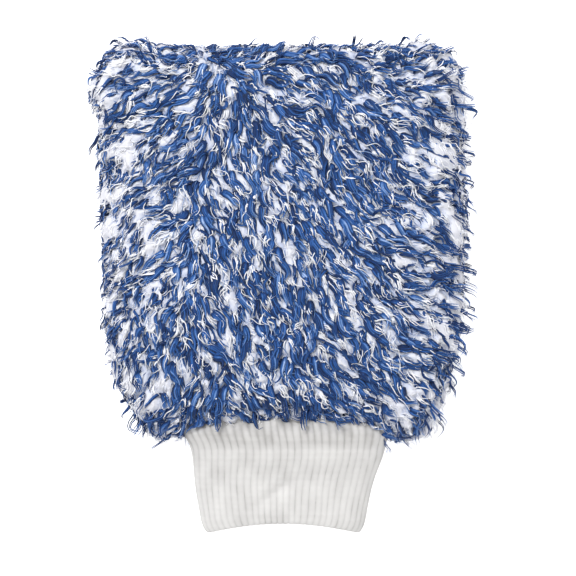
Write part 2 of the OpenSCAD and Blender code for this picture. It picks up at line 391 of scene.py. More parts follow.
def side_bulge(points):
    """How far the sides move to the right, which at the left side is inwards: both are drawn in beside the
    hem and bulge above it, each with its own lumps."""
    across = points[:, 0] / HALF_W
    along = points[:, 1] - HEM_Y
    above = ease((along - 20 * MM) / (40 * MM))
    upper = ease((points[:, 1] - MIDDLE_Y) / HALF_L)
    low_lump, high_lump = 4.0 * hill(along, 37 * MM, 7 * MM), 4.0 * hill(along, 188 * MM, 7 * MM)
    left = (10.0 - 12.5 * above - low_lump - high_lump) * MM
    right = (11.0 * above - 7.5 - 6.0 * upper + 5.0 * hill(along, 11 * MM, 6 * MM)) * MM
    return np.where(across < 0, left, right) * ease((np.abs(across) - 0.45) / 0.5)


def hem_sag(points):
    """How far the hem end moves along the mitt: the corners sag, and the middle arches up over the cuff."""
    across = np.abs(points[:, 0]) / HALF_W
    near = ease((HEM_Y + 48 * MM - points[:, 1]) / (25 * MM))
    arch = np.clip(1 - (points[:, 0] / CUFF_HIGH.x) ** 2, 0, 1)
    return near * (HEM_LIFT * arch - CORNER_DROP * ease((across - 0.47) / 0.2))


def hem_press(points):
    """How far the hem sinks onto the cuff from both faces of the mitt."""
    near = ease((HEM_Y + 20 * MM - points[:, 1]) / (10 * MM))
    near *= 1 - ease((np.abs(points[:, 0]) - 50 * MM) / (10 * MM))
    return 1.8 * MM * near * np.sign(points[:, 2] - SEAM_Z)


def soft_body():
    """Both piles as one closed body, drawn in by the depth of the loose yarns and then swollen."""
    merged = bmesh.new()
    for node in ("front_pile", "rear_pile"):
        merged.from_mesh(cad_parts[node].data)
    mesh = bpy.data.meshes.new("soft_body")
    merged.to_mesh(mesh)
    merged.free()
    piece = object_of("soft_body", mesh)
    remesh = piece.modifiers.new("remesh", "REMESH")
    remesh.mode = "VOXEL"
    remesh.voxel_size = VOXEL
    mesh = baked(piece)
    points, directions = points_of(mesh)
    outward = outwardness(points, directions)
    corner = ease((np.abs(points[:, 0]) - 0.64 * HALF_W) / (0.3 * HALF_W))
    corner *= ease((np.abs(points[:, 1] - MIDDLE_Y) - 0.6 * HALF_L) / (0.35 * HALF_L))
    puffs = lattice_noise(points, 13 * MM, SEED + 16) * 1.3 * MM
    points += directions * (outward * (CORNER_FULLNESS * corner + puffs - YARN_DEPTH))[:, None]
    points[:, 0] += side_bulge(points) * outward
    points[:, 1] += hem_sag(points) * outward
    points[:, 2] -= hem_press(points)
    move_points(mesh, points)
    swell(piece, outward)
    return piece


def subdivided(piece, levels):
    """A finer copy of a piece's mesh, in a piece of its own."""
    copy = object_of(piece.name + "_fine", piece.data.copy())
    smoothing = copy.modifiers.new("fine", "SUBSURF")
    smoothing.levels = smoothing.render_levels = levels
    baked(copy)
    return copy


class Surface:
    """The outside of a mesh: its triangles for scattering, and a tree for finding the nearest point."""

    def __init__(self, mesh):
        mesh.calc_loop_triangles()
        corners = np.empty(len(mesh.loop_triangles) * 3, np.int32)
        mesh.loop_triangles.foreach_get("vertices", corners)
        points, directions = points_of(mesh)
        corners = corners.reshape(-1, 3)
        keep = outwardness(points, directions)[corners].min(axis=1) > 0.5
        self.corners, self.points, self.directions = corners[keep], points, directions
        self.tree = BVHTree.FromPolygons(points.tolist(), self.corners.tolist())
        a, b, c = (points[self.corners[:, k]] for k in range(3))
        self.areas = np.linalg.norm(np.cross(b - a, c - a), axis=1) / 2

    def nearest(self, points):
        """Nearest surface points, with the smooth normals there, and how far off they are."""
        found = [self.tree.find_nearest(p) for p in points.tolist()]
        places = np.array([f[0] for f in found])
        triangles = self.corners[[f[2] for f in found]]
        gaps = np.linalg.norm(self.points[triangles] - places[:, None], axis=2)
        weights = 1 / (gaps + 0.1 * MM)
        near = np.einsum("nk,nkc->nc", weights, self.directions[triangles])
        return places, unit(near), np.array([f[3] for f in found])

    def scatter(self, spacing, chance, seed):
        """Points over the surface, at least spacing apart. chance(points) is the share of them kept there."""
        rng = np.random.default_rng(seed)
        count = int(4 * self.areas.sum() / spacing**2)
        picked = rng.choice(len(self.areas), count, p=self.areas / self.areas.sum())
        u, v = rng.random((2, count, 1))
        u, v = np.where(u + v > 1, 1 - u, u), np.where(u + v > 1, 1 - v, v)
        a, b, c = (self.points[self.corners[picked, k]] for k in range(3))
        spots = a + (b - a) * u + (c - a) * v
        spots = spots[rng.random(count) < chance(spots)]
        taken, kept = {}, []
        for spot, cell in zip(spots, np.floor(spots / spacing).astype(int).tolist()):
            x, y, z = (c - 1 for c in cell)
            near = (taken.get((x + i, y + j, z + k), ()) for i, j, k in np.ndindex(3, 3, 3))
            if all(np.sum((spot - other) ** 2) >= spacing**2 for others in near for other in others):
                taken.setdefault(tuple(cell), []).append(spot)
                kept.append(spot)
        return np.array(kept)


# ---------- how the pile lies ----------


# How far to the right the pile runs for each step down, from the mitt's left edge to its right one
COMB_ACROSS = (-1.0, -0.85, -0.62, -0.42, -0.2, 0.3, 0.7, 0.86, 1.0)
COMB_LEAN = (-0.3, -1.2, -1.2, 0.0, 0.42, 0.55, 0.8, 0.75, 0.25)


def pile_flow(points, directions):
    """The way the pile is combed: down and to the right over most of the mitt, leftwards at its left side and
    sideways at the finger end, with swirls that neighbouring yarns share."""
    across = points[:, 0] / HALF_W
    along = (points[:, 1] - MIDDLE_Y) / HALF_L
    tip = ease((along - 0.3) / 0.6)
    rim = ease((along - 0.78) / 0.2)
    flow = np.empty_like(points)
    flow[:, 0] = np.interp(across, COMB_ACROSS, COMB_LEAN) * (1 + 0.7 * tip)
    flow[:, 0] += 0.8 * rim * np.tanh(1.6 * (across + 0.5))
    low_left = ease((HEM_Y + 62 * MM - points[:, 1]) / (25 * MM)) * ease((-across - 0.4) / 0.2)
    flow[:, 0] *= 1 - 0.6 * low_left
    flow[:, 1] = -1.0 + 0.5 * tip * ease(np.abs(across) / 0.7) + 0.8 * rim
    flow[:, 2] = -0.45 * (1 - np.abs(directions[:, 2]))
    flow = unit(flow - directions * np.sum(flow * directions, axis=1, keepdims=True))
    swirl = 0.5 * lattice_noise(points, 38 * MM, SEED + 1) + 0.65 * lattice_noise(points, 12 * MM, SEED + 7)
    return turned(flow, directions, swirl)


def on_walls(points):
    """1 on the walls round the mitt, where few yarns lie, and 0 over its front."""
    across = np.abs(points[:, 0]) / HALF_W
    along = np.abs(points[:, 1] - MIDDLE_Y) / HALF_L
    return ease((np.maximum(across, along) - 0.84) / 0.08)


def beside_cuff(points):
    """1 in the two corners of the mitt beside the cuff, where the pile is mostly white."""
    across = np.abs(points[:, 0]) / HALF_W
    return ease((HEM_Y + 42 * MM - points[:, 1]) / (16 * MM)) * ease((across - 0.42) / 0.2)


def blue_share(points):
    """How thickly the blue tufts stand: most in the middle, least at the sides and in the corners beside the
    cuff, and patchy."""
    across = np.abs(points[:, 0] + 2 * MM) / HALF_W
    middle = 1 - 0.85 * ease((across - 0.68) / 0.16)
    patches = 0.92 + (0.3 + 0.3 * ease((across - 0.4) / 0.3)) * lattice_noise(points, 15 * MM, SEED + 2)
    hem = 0.5 * ease((HEM_Y + 34 * MM - points[:, 1]) / (22 * MM)) * (across < 0.62)
    share = (middle * patches + hem) * (1 - 0.4 * on_walls(points))
    share *= 1 - 0.45 * ease((points[:, 1] - FINGER_Y + 26 * MM) / (12 * MM))
    return np.clip(share * (1 - 0.75 * beside_cuff(points)), 0.1, 1)


def side_share(points):
    """How thickly the thin blue yarns stand: most at the sides of the front, fewer elsewhere."""
    across = np.abs(points[:, 0]) / HALF_W
    share = 0.4 + 0.6 * ease((across - 0.35) / 0.25) + 0.3 * lattice_noise(points, 12 * MM, SEED + 8)
    return np.clip(share * (1 - 0.5 * on_walls(points)) * (1 - 0.5 * beside_cuff(points)), 0.1, 1)


def curl_share(points):
    """How thickly the fine white curls lie: in patches, and mostly over the blue tufts."""
    share = 0.1 + 0.6 * blue_share(points) + 0.6 * lattice_noise(points, 14 * MM, SEED + 9)
    return np.clip(share * (1 - 0.75 * on_walls(points)), 0.03, 1)


def fluff_share(points):
    """How thickly the loose white fibres stand: mostly at the sides and on the walls."""
    return np.clip(0.8 - 0.65 * blue_share(points) + 0.2 * on_walls(points), 0.1, 1)


def rim_share(points):
    """The stray tips stand all round the edge, most of them beside the cuff and at the finger end."""
    ends = np.abs(points[:, 1] - MIDDLE_Y) / HALF_L
    share = np.where(points[:, 0] < 0, 0.2, 0.75) + 0.6 * ease((ends - 0.6) / 0.3)
    return np.clip(share + 0.5 * lattice_noise(points, 18 * MM, SEED + 12), 0.05, 1)


def everywhere(points):
    return np.ones(len(points))


# ---------- the cuff's shape ----------


def cuff_stations():
    """(y, half width, low z, high z) of each ring of the CAD cuff, from the wrist edge inwards."""
    points = coordinates(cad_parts["rib_cuff"].data)
    rows = []
    for y in np.unique(np.round(points[:, 1], 5)):
        ring = points[np.abs(points[:, 1] - y) < 0.02 * MM]
        rows.append((y, ring[:, 0].max(), ring[:, 2].min(), ring[:, 2].max()))
    return np.array(rows)


STATIONS = cuff_stations()


def cuff_at(y, column):
    """One column of the stations, smoothed along the cuff."""
    spread = np.linspace(-3.5 * MM, 3.5 * MM, 9)
    return np.mean([np.interp(y + d, STATIONS[:, 0], STATIONS[:, column]) for d in spread], axis=0)


def above_cuff(x, y):
    """Height of the cuff's upper surface, or of nothing beside it."""
    half = cuff_at(y, 1)
    low, high = cuff_at(y, 2), cuff_at(y, 3)
    inside = np.clip(1 - np.abs(x / half) ** 2.6, 0, None) ** (1 / 2.6)
    return (low + high) / 2 + (high - low) / 2 * inside


# ---------- yarns ----------


def walk(surface, roots, lean, curl, lengths, steps, rng):
    """Lets each yarn run over the surface, along the comb of the pile, from half its length before its spot.
    lean is its own angle to the comb and curl its steady turn from end to end, in radians. Past an edge a
    yarn leaves the surface and hangs. Gives its places and the surface's normals there."""
    middles, directions, _ = surface.nearest(roots)
    back = middles - 0.5 * lengths[:, None] * pile_flow(middles, directions)
    places, directions, _ = surface.nearest(back)
    heading = pile_flow(places, directions)
    phase = rng.uniform(0, math.tau, len(roots))
    free = np.zeros(len(roots), bool)
    path, ups = [places], [directions]
    step = (lengths / steps)[:, None]
    for i in range(steps):
        part = i / steps
        angle = lean + curl * (part - 0.5) + 0.3 * np.sin(phase + math.tau * 1.1 * part)
        combed = turned(pile_flow(places, directions), directions, angle)
        heading = np.where(free[:, None], heading, combed)
        ahead = places + heading * step
        found, found_up, gap = surface.nearest(ahead)
        free |= (np.sum(found_up * directions, axis=1) < 0.55) | (gap > 1.2 * step[:, 0])
        ahead[free, 2] -= 0.35 * step[free, 0]
        places = np.where(free[:, None], ahead, found)
        directions = np.where(free[:, None], directions, found_up)
        path.append(places)
        ups.append(directions)
    return np.stack(path, axis=1), np.stack(ups, axis=1)


def trimmed(path, rng):
    """Shortens the yarns at the hem, so that they end ragged along its arch over the cuff."""
    middle = 1 - np.clip(np.abs(path[..., 0]) / (CUFF_HIGH.x + 6 * MM), 0, 1) ** 2
    ragged = rng.exponential(4.0 * MM, (len(path), 1))
    corner = hill(np.abs(path[..., 0]), 58 * MM, 8 * MM)
    limit = HEM_Y + (7.5 * MM + HEM_LIFT) * middle - np.minimum(ragged, 11 * MM) - 5 * MM * corner
    within = np.where(path[..., 1] < limit, np.arange(path.shape[1])[None], path.shape[1] - 1)
    share = np.clip(within.min(axis=1) / (path.shape[1] - 1), 0.3, 1)[:, None]
    return resampled(path, share)


def smooth_floor(z):
    """Presses heights gently up to the table, so that yarns under the mitt lie on it and don't meet."""
    soft = 1.6 * MM
    return FLOOR_GAP + soft * np.logaddexp(0, (z - FLOOR_GAP) / soft)


def rest_on_things(path, front):
    """Keeps yarns of the front above the cuff, yarns of the rear below it, and all above the table."""
    near = path[..., 1] < HEM_Y + 14 * MM
    top = above_cuff(path[..., 0], path[..., 1]) + 1.0 * MM
    centre = (cuff_at(path[..., 1], 2) + cuff_at(path[..., 1], 3)) / 2
    beside = np.abs(path[..., 0]) > cuff_at(path[..., 1], 1)
    over = near & ~beside & front[:, None]
    under = near & ~beside & ~front[:, None]
    path[..., 2] = np.where(over, np.maximum(path[..., 2], top), path[..., 2])
    path[..., 2] = np.where(under, np.minimum(path[..., 2], 2 * centre - top), path[..., 2])
    path[..., 2] = smooth_floor(path[..., 2])
    return path


def lie(path, ups, root, height, tip, rng, hook=0.0):
    """Lifts walked paths off the surface: from root up to height over the first part, then towards tip. With
    hook, from 0 to 1, a yarn rises sooner and bends back at its end."""
    s = np.linspace(0, 1, path.shape[1])[None]
    ripple = 0.5 * MM * np.sin(math.tau * (s * 1.6 + rng.random((len(path), 1))))
    late = ease((s - 0.55 + 0.4 * hook) / 0.45) - 0.55 * hook * ease((s - 0.6) / 0.4)
    lift = root + (height - root)[:, None] * ease(s / 0.22) + (tip - height)[:, None] * late
    return path + ups * (lift + ripple)[..., None]


def frames(path, ups):
    """Sideways and upward directions at each point of each path."""
    along = unit(np.gradient(path, axis=1))
    side = unit(np.cross(ups, along))
    return side, np.cross(along, side)


def tubes(name, path, side, up, wide, thick, sides, tone, edge):
    """Closed yarns along paths, with an oval section, a capped root and a pointed tip. Each is darker by edge
    at its sides than along its top, which is painted shade on its flanks."""
    count, rings, _ = path.shape
    angles = math.tau * (np.arange(sides) / sides + 0.25)
    across = side[:, :-1, None] * (wide[:, :-1, None] * np.cos(angles))[..., None]
    upward = up[:, :-1, None] * (thick[:, :-1, None] * np.sin(angles))[..., None]
    body = (path[:, :-1, None] + across + upward).reshape(count, -1, 3)
    points = np.concatenate([body, path[:, -1:]], axis=1)
    each = points.shape[1]
    first = (each * np.arange(count))[:, None, None]
    walls = grid_faces(rings - 1, sides, True)
    last = (rings - 2) * sides
    k = np.arange(sides)
    tips = np.stack([last + k, last + (k + 1) % sides, np.full(sides, each - 1)], axis=1)
    caps = k[::-1][None]
    groups = [(faces[None] + first).reshape(-1, faces.shape[1]) for faces in (walls, tips, caps)]
    mesh = mesh_of(name, points.reshape(-1, 3), groups)
    # painted shade: each yarn's sides are darkened by edge, and its top keeps its tone
    around = tone[:, :-1, None] - edge * (1 - np.clip(np.sin(angles), 0, 1))
    tones = np.clip(np.concatenate([around.reshape(count, -1), tone[:, -1:]], axis=1), 0, 1)
    set_shade(mesh, "tone", tones.ravel())
    return object_of(name, mesh)


class Yarns:
    """A family of yarns: their paths, at rest on the cuff and the table, and their sections and tones. The
    tones carry painted shade at the roots, and edge is the painted shade on their sides.
    """

    def __init__(self, path, ups, half_wide, flatness, tone, sides, edge):
        path = rest_on_things(path, ups[:, 0, 2] > 0)
        self.side, self.up = frames(path, ups)
        self.path, self.sides, self.tone, self.edge = path, sides, tone, edge
        self.wide, self.thick = half_wide, half_wide * flatness

    def piece(self, name, chosen):
        args = (self.path[chosen], self.side[chosen], self.up[chosen], self.wide[chosen], self.thick[chosen])
        return tubes(name, *args, self.sides, self.tone[chosen], self.edge)


def taper(rings, blunt=0.35, point=0.45):
    """Shares of a yarn's width along it: narrow at the root, full in the middle, pointed at the tip."""
    s = np.linspace(0, 1, rings)
    return (blunt + (1 - blunt) * ease(s / 0.3)) * (1 - s) ** point * (1 + point / 4)


def toned(count, rings, low, high, rng, root=0.5):
    """Each yarn's own shade, darker by root where it starts, which is painted shade down in the pile, and
    paler at the tip.
    """
    s = np.linspace(0, 1, rings)[None]
    own = rng.uniform(low, high, (count, 1))
    # painted shade: the root term darkens the first part of each yarn, where it lies low among the others
    return np.clip(own - root * (1 - ease(s / 0.4)) + 0.15 * ease((s - 0.6) / 0.4), 0, 1)


def bundle(path, ups, strands, spread, half_wide, rng):
    """Splits each path into strands side by side, close at the root and fraying at the tip."""
    side, up = frames(path, ups)
    rings = path.shape[1]
    s = np.linspace(0, 1, rings)[None, :, None]
    parts = []
    for j in range(strands):
        shift = (j - (strands - 1) / 2 + rng.uniform(-0.4, 0.4, (len(path), 1, 1))) * spread[:, None, None]
        fray = 0.5 + 0.6 * ease(s / 0.35) + rng.uniform(-0.3, 0.8, (len(path), 1, 1)) * ease((s - 0.5) / 0.5)
        raise_by = rng.uniform(-0.45, 0.45, (len(path), 1, 1)) * MM * ease(s / 0.4)
        short = rng.uniform(0.76, 1.0, (len(path), 1))
        strand = path + side * shift * fray + up * raise_by
        parts.append(resampled(strand, short))
    return np.concatenate(parts), np.concatenate([ups] * strands), np.concatenate([half_wide] * strands)


def resampled(path, share):
    """The first share of each path, with the same number of points."""
    rings = path.shape[1]
    at = share * np.arange(rings)[None]
    low = np.minimum(at.astype(int), rings - 2)
    part = (at - low)[..., None]
    rows = np.arange(len(path))[:, None]
    return path[rows, low] * (1 - part) + path[rows, low + 1] * part


def smoothed(path, rounds):
    """Paths with their small kinks taken out."""
    for _ in range(rounds):
        path = path.copy()
        path[:, 1:-1] = (path[:, :-2] + 2 * path[:, 1:-1] + path[:, 2:]) / 4
    return path


def laid(surface, roots, lean, curl, lengths, steps, root, height, tip, rng, hook=0.0):
    """Paths of yarns that run over the surface, rise from it and end ragged at the hem, and their normals."""
    path, ups = walk(surface, roots, lean, curl, lengths, steps, rng)
    path = lie(path, ups, root, height, tip, rng, hook)
    return trimmed(path, rng), ups


def grown(surface, roots, lengths, height, rise, bend, steps, root, rng):
    """Paths of yarns of given lengths. height is their range of heights and rise the mean and spread of how
    far their tips rise past that, in millimetres. bend holds the spreads of their lean and curl."""
    count = len(roots)
    high = rng.uniform(*height, count) * MM
    tip = high + rng.normal(*rise, count) * MM
    lean, curl = rng.normal(0, bend[0], count), rng.normal(0, bend[1], count)
    return laid(surface, roots, lean, curl, lengths, steps, root, high, tip, rng)


def blue_tufts(surface):
    """Broad flattened tufts of dyed yarn, each of a few strands that run together and fray at the tip."""
    rng = np.random.default_rng(SEED + 10)
    roots = surface.scatter(5.0 * MM, blue_share, SEED + 11)
    count = len(roots)
    centre = 1 - ease((np.abs(roots[:, 0]) / HALF_W - 0.48) / 0.32)
    lengths = rng.uniform(9, 15, count) * MM + centre * rng.uniform(1, 5, count) * MM
    path, ups = grown(surface, roots, lengths, (1.0, 3.4), (0.3, 1.2), (0.27, 0.55), 14, -2.0 * MM, rng)
    spread = (0.55 + 0.3 * centre) * rng.uniform(0.75, 1.25, count) * MM
    wide = ((0.84 + 0.3 * centre) * rng.uniform(0.85, 1.2, count))[:, None] * taper(15, 0.25, 0.65) * MM
    strand, strand_ups, strand_wide = bundle(path, ups, 4, spread, wide, rng)
    # painted shade: the two outer strands of each tuft are darker, a dark outline along its edges; the rest
    # is each tuft's own random shade
    own = np.tile(rng.uniform(-0.14, 0.14, count), 4) - 0.16 * np.repeat([1, 0, 0, 1], count)
    tone = np.clip(toned(len(strand), 15, 0.42, 0.88, rng) + own[:, None], 0, 1)
    return Yarns(strand, strand_ups, strand_wide, 0.5, tone, 4, edge=0.34)


def blue_fibres(surface):
    """Paler loose fibres that lie along the blue tufts and soften their edges."""
    rng = np.random.default_rng(SEED + 60)
    roots = surface.scatter(3.7 * MM, blue_share, SEED + 61)
    count = len(roots)
    lengths = rng.uniform(6, 14, count) * MM
    path, ups = grown(surface, roots, lengths, (0.8, 3.6), (0.3, 1.0), (0.3, 0.8), 8, -1.0 * MM, rng)
    wide = rng.uniform(0.2, 0.38, count)[:, None] * taper(9, 0.5) * MM
    return Yarns(path, ups, wide, 0.9, toned(count, 9, 0.75, 1.1, rng, 0.35), 3, edge=0.15)


def blue_yarns(surface):
    """Thin blue yarns, often curled into a hook, that run round the white puffs."""
    rng = np.random.default_rng(SEED + 20)
    roots = surface.scatter(5.6 * MM, side_share, SEED + 21)
    count = len(roots)
    lengths = rng.uniform(9, 17, count) * MM
    path, ups = grown(surface, roots, lengths, (1.5, 4.2), (0.3, 1.3), (0.4, 1.5), 12, -2.0 * MM, rng)
    spread = rng.uniform(0.35, 0.7, count) * MM
    wide = rng.uniform(0.42, 0.72, count)[:, None] * taper(13) * MM
    strand, strand_ups, strand_wide = bundle(path, ups, 2, spread, wide, rng)
    return Yarns(strand, strand_ups, strand_wide, 0.65, toned(len(strand), 13, 0.3, 0.7, rng), 4, edge=0.3)


def rim_tips(surface):
    """Stray blue tips in frayed, hooked bunches, which stand out round the edge of the mitt and lie calmer at
    its left and its finger end."""
    rng = np.random.default_rng(SEED + 50)
    roots = surface.scatter(5.0 * MM, rim_share, SEED + 51)
    _, directions, _ = surface.nearest(roots)
    roots = roots[np.abs(directions[:, 2]) < 0.85]
    count = len(roots)
    lengths = rng.uniform(8, 16, count) * MM
    height = rng.uniform(1.5, 4.0, count) * MM
    calm = np.where(roots[:, 1] > FINGER_Y - 20 * MM, 0.5, 1.0)
    calm = np.where(roots[:, 0] < -0.8 * HALF_W, 0.45, calm)
    tip = np.minimum(height + rng.gamma(2.4, 2.6, count) * calm * MM, 12 * MM)
    lean, curl = rng.normal(0, 0.5, count), rng.normal(0, 1.7, count)
    hook = rng.uniform(0, 0.85, (count, 1))
    path, ups = laid(surface, roots, lean, curl, lengths, 12, -1.0 * MM, height, tip, rng, hook)
    wide = rng.uniform(0.42, 0.75, count)[:, None] * taper(13, 0.4, 0.55) * MM
    strand, strand_ups, strand_wide = bundle(path, ups, 3, rng.uniform(0.6, 1.2, count) * MM, wide, rng)
    return Yarns(strand, strand_ups, strand_wide, 0.8, toned(len(strand), 13, 0.3, 0.75, rng), 4, edge=0.3)


def white_tufts(surface):
    """White tufts in the gaps between the blue ones, finer and fluffier."""
    rng = np.random.default_rng(SEED + 30)
    roots = surface.scatter(6.2 * MM, everywhere, SEED + 31)
    count = len(roots)
    lengths = rng.uniform(8, 14, count) * MM
    path, ups = grown(surface, roots, lengths, (-0.4, 1.5), (0.2, 0.8), (0.4, 0.9), 10, -1.5 * MM, rng)
    spread = rng.uniform(0.7, 1.2, count) * MM
    wide = rng.uniform(0.4, 0.7, count)[:, None] * taper(11) * MM
    strand, strand_ups, strand_wide = bundle(path, ups, 3, spread, wide, rng)
    tone = toned(len(strand), 11, 0.66, 1.02, rng, 0.4)
    return Yarns(strand, strand_ups, strand_wide, 0.6, tone, 4, edge=0.2)


def white_fibres(surface):
    """Loose short fibres that fluff up the white pile."""
    rng = np.random.default_rng(SEED + 70)
    roots = surface.scatter(2.6 * MM, fluff_share, SEED + 71)
    count = len(roots)
    lengths = rng.uniform(4, 9, count) * MM
    path, ups = grown(surface, roots, lengths, (0.3, 2.6), (0.4, 0.9), (0.8, 1.6), 7, -0.6 * MM, rng)
    wide = rng.uniform(0.14, 0.26, count)[:, None] * taper(8, 0.6) * MM
    return Yarns(path, ups, wide, 0.8, toned(count, 8, 0.7, 1.05, rng, 0.3), 3, edge=0.25)


def white_streaks(surface):
    """White strands in frayed bunches, which lie over the blue tufts and end in points."""
    rng = np.random.default_rng(SEED + 80)
    spots = surface.scatter(8.4 * MM, curl_share, SEED + 81)
    bunches, strands = len(spots), 5
    shared = rng.normal(0, (0.3, 0.9), (bunches, 2)).repeat(strands, axis=0)
    reach = rng.uniform(9, 15, bunches).repeat(strands)
    count = bunches * strands
    roots = spots.repeat(strands, axis=0) + rng.normal(0, 0.8 * MM, (count, 3))
    lengths = reach * rng.uniform(0.65, 1.0, count) * MM
    height = rng.uniform(1.4, 3.8, count) * MM
    tip = height + rng.normal(0.3, 0.8, count) * MM
    lean, curl = shared[:, 0] + rng.normal(0, 0.16, count), shared[:, 1] + rng.normal(0, 0.6, count)
    path, ups = laid(surface, roots, lean, curl, lengths, 12, -1.5 * MM, height, tip, rng)
    path = smoothed(path, 2)
    wide = rng.uniform(0.26, 0.46, count)[:, None] * taper(13, 0.6, 0.8) * MM
    return Yarns(path, ups, wide, 0.7, toned(count, 13, 0.85, 1.08, rng, 0.3), 4, edge=0.22)


def white_curls(surface):
    """Fine white yarns, wavy and now and then looped, that lie over everything."""
    rng = np.random.default_rng(SEED + 40)
    roots = surface.scatter(6.6 * MM, curl_share, SEED + 41)
    count = len(roots)
    lengths = rng.uniform(5, 11, count) * MM
    height = rng.uniform(2.4, 4.2, count) * MM
    tip = height + rng.normal(0.2, 0.9, count) * MM
    lean = rng.normal(0, 0.35, count)
    curl = rng.normal(0, 1.0, count) * rng.choice([0.6, 3.0], count, p=[0.85, 0.15])
    path, ups = laid(surface, roots, lean, curl, lengths, 13, -1.0 * MM, height, tip, rng)
    path = smoothed(path, 3)
    wide = rng.uniform(0.28, 0.42, count)[:, None] * taper(14, 0.6) * MM
    return Yarns(path, ups, wide, 0.8, toned(count, 14, 0.9, 1.1, rng, 0.1), 3, edge=0.15)


def puff_up(mesh, yarns):
    """Raises the fluff between the tufts and hollows it beneath them, and stores how far each point rose as a
    shade, which darkens the hollows as painted shadow.
    """
    points, directions = points_of(mesh)
    spots = yarns.path[:, 2:-1:2].reshape(-1, 3)
    tree = KDTree(len(spots))
    for i, spot in enumerate(spots.tolist()):
        tree.insert(spot, i)
    tree.balance()
    gap = np.array([tree.find(p)[2] for p in points.tolist()])
    clear = ease((gap - 1.2 * MM) / (4.2 * MM))
    lumps = lattice_noise(points, 8 * MM, SEED + 3) + 0.4 * lattice_noise(points, 3 * MM, SEED + 4)
    outward = outwardness(points, directions)
    rise = outward * (PUFF_RISE * clear + 0.7 * MM * lumps)
    moved = points + directions * rise[:, None]
    moved[:, 2] = np.where(outward > 0, smooth_floor(moved[:, 2]), moved[:, 2])
    move_points(mesh, moved)
    # painted shadow: the stored shade is low beside and under the tufts and high where the fluff puffs up
    set_shade(mesh, "puff", np.clip(0.25 + 0.6 * clear + 0.12 * lumps, 0, 1))


def half_of(mesh, name, upper):
    """The faces of a mesh above the side seam, or those below it, as a piece."""
    part = bmesh.new()
    part.from_mesh(mesh)
    gone = [f for f in part.faces if (f.calc_center_median().z > SEAM_Z) != upper]
    bmesh.ops.delete(part, geom=gone, context="FACES")
    half = bpy.data.meshes.new(name)
    part.to_mesh(half)
    part.free()
    smooth_shaded(half)
    return object_of(name, half)


# ---------- putting the pile together ----------


def settle(piece, node, mat, blended=False):
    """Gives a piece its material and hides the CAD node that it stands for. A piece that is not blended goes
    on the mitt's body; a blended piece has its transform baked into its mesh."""
    piece.data.materials.clear()
    piece.data.materials.append(mat)
    if blended:
        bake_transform(piece)
    else:
        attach(piece, "mitt")
    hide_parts(node)


def place_yarns(yarns, name, mat):
    """Cuts a family of yarns into pieces. Those at the hem hang over the cuff and go into pieces of their
    own.
    """
    reach = yarns.path[..., 1].min(axis=1)
    hem = (reach < HEM_Y + 4 * MM) & (np.abs(yarns.path[:, -1, 0]) < CUFF_HIGH.x + 6 * MM)
    front = yarns.path[:, 3, 2] > SEAM_Z
    left = yarns.path[:, 0, 0] < 0
    for part, chosen, node in (
        ("front_left", front & ~hem & left, "front_pile"),
        ("front_right", front & ~hem & ~left, "front_pile"),
        ("rear_left", ~front & ~hem & left, "rear_pile"),
        ("rear_right", ~front & ~hem & ~left, "rear_pile"),
        ("front_hem", front & hem, "front_pile"),
        ("rear_hem", ~front & hem, "rear_pile"),
    ):
        if chosen.any():
            piece = yarns.piece(f"{part}_{name}", chosen)
            settle(piece, node, mat, blended=part.endswith("hem"))


def make_pile():
    body = soft_body()
    walking = subdivided(body, 1)
    fine = subdivided(body, 2)
    surface = Surface(walking.data)
    blue, white = blue_yarn(), white_yarn()
    tufts = blue_tufts(surface)
    puff_up(fine.data, tufts)
    puffed = Surface(fine.data)
    place_yarns(tufts, "blue_tufts", blue)
    for family in (blue_fibres, blue_yarns, rim_tips):
        place_yarns(family(surface), family.__name__, blue)
    for family in (white_tufts, white_fibres, white_streaks, white_curls):
        place_yarns(family(puffed), family.__name__, white)
    fluff = fluff_material()
    for name, node, upper in (("front_fluff", "front_pile", True), ("rear_fluff", "rear_pile", False)):
        piece = half_of(fine.data, name, upper)
        settle(piece, node, fluff)
    for scratch in (body, walking, fine):
        bpy.data.objects.remove(scratch)


# ---------- the cuff ----------

RIBS = 60
RIB_POINTS = 8
RIB_RELIEF = 0.5 * MM
CUFF_WALL = 2.7 * MM  # of both layers together
LAYER_GAP = 0.1 * MM
SEWN_Y = CUFF_HIGH.y
WRIST_Y = CUFF_LOW.y - 1.5 * MM
CUFF_LENGTH = SEWN_Y - WRIST_Y
EDGE_ARCH = 5.6 * MM  # the wrist edge's middle stands this far short of its corners
EDGE_ROUND = 3.5 * MM  # radius of the wrist edge's corners
CUFF_SPREAD = 2.0 * MM  # the knit stands this far outside the CAD cuff at each side
SWAY = 2.6 * MM  # the cuff bows this far to the right, just under the hem
DENT_AT = (-4 * MM, 44 * MM)  # across, and from the sewn end
TUCK = 3.5 * MM  # the knit runs this far in under the hem, past its sewn end


def cuff_section(y, inset):
    """Points round the cuff at y, evenly spaced along its girth from the left side, and their normals."""
    half = cuff_at(y, 1) + CUFF_SPREAD - inset
    low, high = cuff_at(y, 2) + inset, cuff_at(y, 3) - inset
    angle = np.linspace(-math.pi, math.pi, 721)
    power = 2 / 2.6
    x = half * np.sign(np.cos(angle)) * np.abs(np.cos(angle)) ** power
    z = (low + high) / 2 + (high - low) / 2 * np.sign(np.sin(angle)) * np.abs(np.sin(angle)) ** power
    run = np.concatenate([[0], np.cumsum(np.hypot(np.diff(x), np.diff(z)))])
    at = run[-1] * np.arange(RIBS * RIB_POINTS) / (RIBS * RIB_POINTS)
    x, z = np.interp(at, run, x), np.interp(at, run, z)
    dx, dz = np.roll(x, -1) - np.roll(x, 1), np.roll(z, -1) - np.roll(z, 1)
    return x, z, unit(np.stack([dz, -dx], axis=1))


